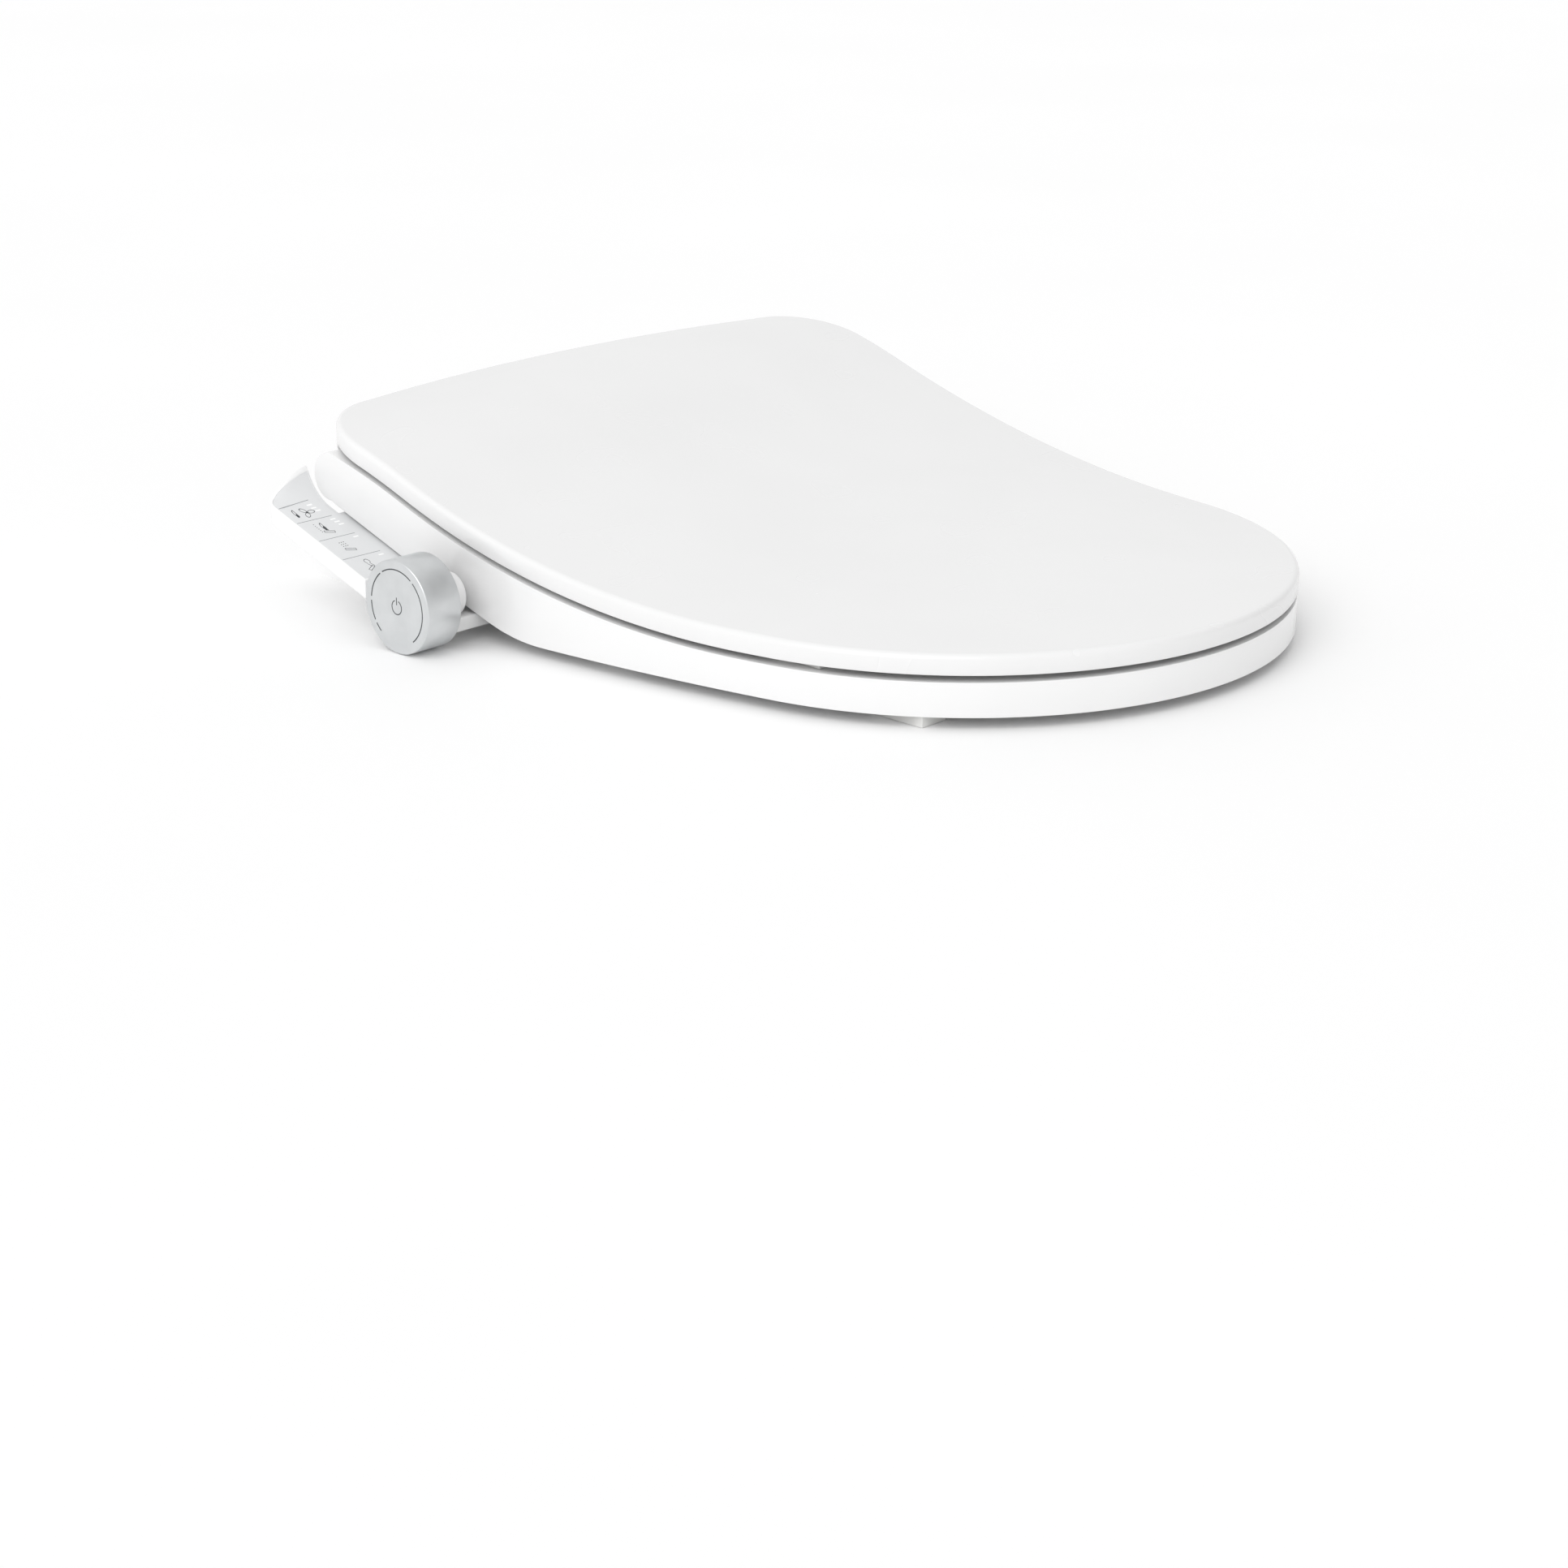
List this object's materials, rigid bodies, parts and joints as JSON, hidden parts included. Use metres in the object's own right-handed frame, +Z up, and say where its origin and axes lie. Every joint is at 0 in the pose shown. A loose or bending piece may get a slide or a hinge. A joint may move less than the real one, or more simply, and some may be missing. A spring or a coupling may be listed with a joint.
{
  "type": "electric bidet seat",
  "caption": "Electric bidet seat: soft-close lid and heated ring on one hinge line, side control wing with touch keys and a turning knob, sliding spray nozzle.",
  "frame": {"origin": "midway between the two bowl bolts, on the plane of the bowl's rim", "axes": "+Z up, -Y towards the front of the seat, control wing on -X"},
  "size_m": [0.414, 0.4824, 0.1665],
  "materials": {
    "lid": "satin gloss",
    "seat": "gloss",
    "case": "satin",
    "inner_case": "matte",
    "overlay": "satin",
    "light": "clear white",
    "board": "solder mask",
    "anodised": "satin anodised",
    "steel": "stainless",
    "rubber": "matte",
    "dark": "matte",
    "brass": "machined",
    "foil": "foil",
    "hose": "silicone"
  },
  "bodies": {
    "base": {"hinge_pins": "steel", "seat_damper": "dark", "lid_damper": "dark", "upper_housing": "case", "sensor_window": "dark", "base_tray": "case", "cord_gland": "case", "inlet_valve": "inner_case", "inlet_fitting": "brass", "inlet_filter": "inner_case", "release_spring": "steel", "button_stop": "inner_case", "mounting_plate": "inner_case", "bowl_bolts": "steel", "bolt_washers": "rubber", "bolt_nuts": "inner_case", "wing_case": "case", "panel_overlay": "overlay", "light_lenses": "light", "touch_board": "board", "encoder": "dark", "nozzle_guide": "inner_case", "nozzle_motor": "steel", "water_heater": "inner_case", "water_pump": "dark", "water_hose": "hose", "dryer_casing": "inner_case", "dryer_motor": "steel", "dryer_grille": "case", "main_board": "board", "power_supply": "dark", "case_screws": "steel"},
    "lid": {"lid_shell": "lid", "lid_hinge_frame": "case", "lid_bumpers": "rubber"},
    "seat": {"seat_shell": "seat", "seat_underplate": "seat", "seat_heater": "foil", "seat_bumpers": "rubber"},
    "encoder_slide": {"encoder_shaft": "steel"},
    "knob": {"knob_cap": "anodised", "knob_hub": "dark"},
    "nozzle": {"nozzle_tube": "inner_case", "nozzle_tip": "steel"},
    "pinion": {"nozzle_pinion": "dark"},
    "fan": {"dryer_fan": "dark"},
    "release": {"release_button": "case"}
  },
  "joints": [
    {"name": "seat_lift", "type": "hinge", "parent": "base", "child": "seat", "pos_m": [0, 0.009, 0.065], "axis": [-1, 0, 0], "range_deg": [0, 88]},
    {"name": "lid_lift", "type": "hinge", "parent": "seat", "child": "lid", "pos_m": [0, 0.009, 0.065], "axis": [1, 0, 0], "range_deg": [-95, 0]},
    {"name": "knob_push", "type": "slide", "parent": "base", "child": "encoder_slide", "axis": [1, 0, 0], "range_m": [0, 0.0012], "stiffness_N_per_m": 1500, "springref_m": -0.0006},
    {"name": "knob_turn", "type": "hinge", "parent": "encoder_slide", "child": "knob", "pos_m": [-0.21, -0.086, 0.0237], "axis": [1, 0, 0], "continuous": true},
    {"name": "nozzle_slide", "type": "slide", "parent": "base", "child": "nozzle", "axis": [0, -0.788, -0.6157], "range_m": [0, 0.034]},
    {"name": "pinion_turn", "type": "hinge", "parent": "base", "child": "pinion", "pos_m": [0, -0.03571, 0.04081], "axis": [-1, 0, 0], "range_deg": [0, 325]},
    {"name": "fan_spin", "type": "hinge", "parent": "base", "child": "fan", "pos_m": [0.092, -0.02, 0.036], "axis": [1, 0, 0], "continuous": true},
    {"name": "release_press", "type": "slide", "parent": "base", "child": "release", "axis": [-1, 0, 0], "range_m": [0, 0.003], "stiffness_N_per_m": 800, "springref_m": -0.001, "deforming": ["release_spring"]}
  ],
  "couplings": [
    {"joint": "pinion_turn", "follows": "nozzle_slide", "rad_per_m": 166.67}
  ]
}
